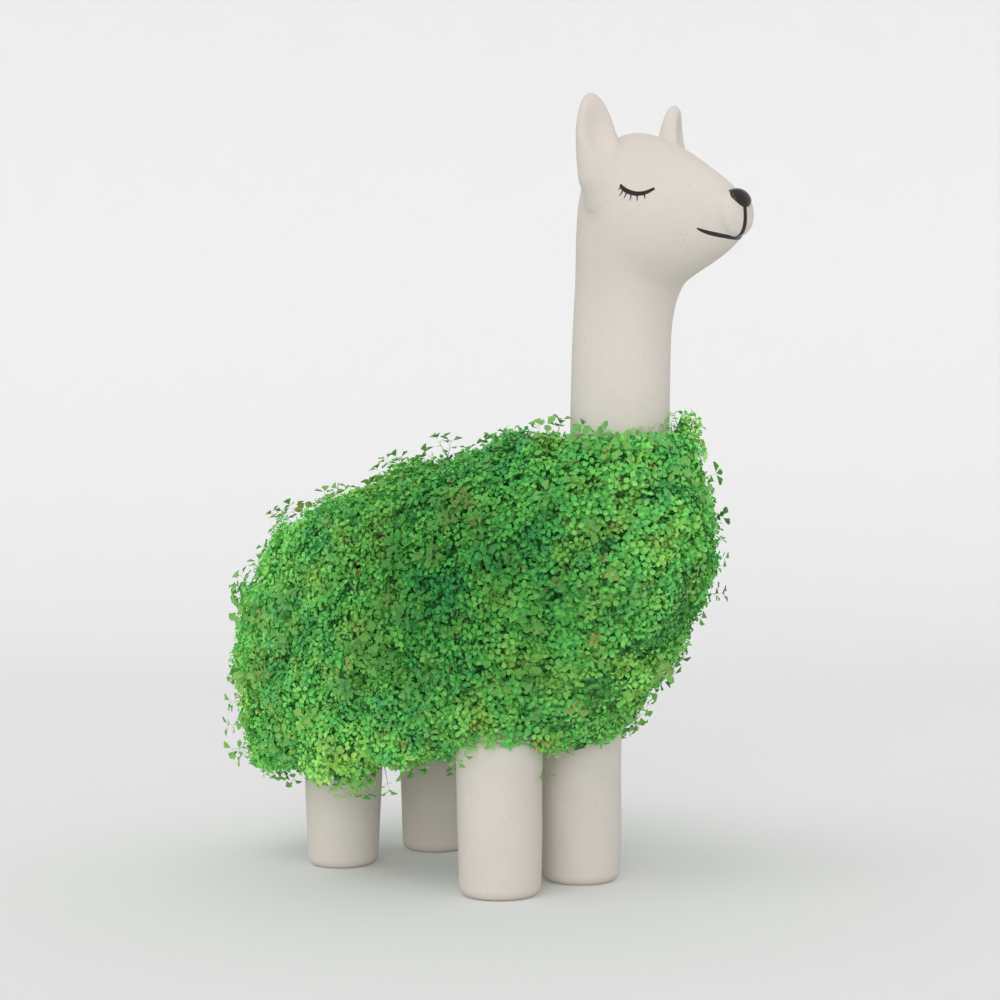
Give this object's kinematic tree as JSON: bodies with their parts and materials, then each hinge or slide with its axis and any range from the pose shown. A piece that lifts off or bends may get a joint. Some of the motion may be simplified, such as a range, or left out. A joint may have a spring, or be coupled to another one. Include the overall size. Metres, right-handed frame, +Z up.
{
  "type": "animal planter with sprouts",
  "caption": "Fired-clay llama planter: hollow grooved body on four legs, filled through the back, with a leafy row of sprouts growing from each groove.",
  "frame": {"origin": "on the ground, under the middle of the outline of the whole planter", "axes": "+X from rump to nose, +Y to the animal's left, +Z up"},
  "size_m": [0.1528, 0.0802, 0.175],
  "materials": {
    "clay": "unglazed pale greige clay, matt, slightly porous",
    "black_glaze": "small spot of black glaze, satin",
    "seeds": "soaked seeds and matted roots, wet brown",
    "sprouts": "dense small fleshy leaves, bright to mid green"
  },
  "bodies": {
    "root": {"body_shell": "clay", "neck_and_head": "clay", "ear_left": "clay", "ear_right": "clay", "tail": "clay", "leg_front_left": "clay", "leg_rear_left": "clay", "leg_front_right": "clay", "leg_rear_right": "clay", "nose_pad": "black_glaze", "seed_mat_1": "seeds", "seed_mat_2": "seeds", "seed_mat_3": "seeds", "seed_mat_4": "seeds", "seed_mat_5": "seeds", "seed_mat_6": "seeds", "sprout_row_1": "sprouts", "sprout_row_2": "sprouts", "sprout_row_3": "sprouts", "sprout_row_4": "sprouts", "sprout_row_5": "sprouts", "sprout_row_6": "sprouts"}
  },
  "joints": []
}
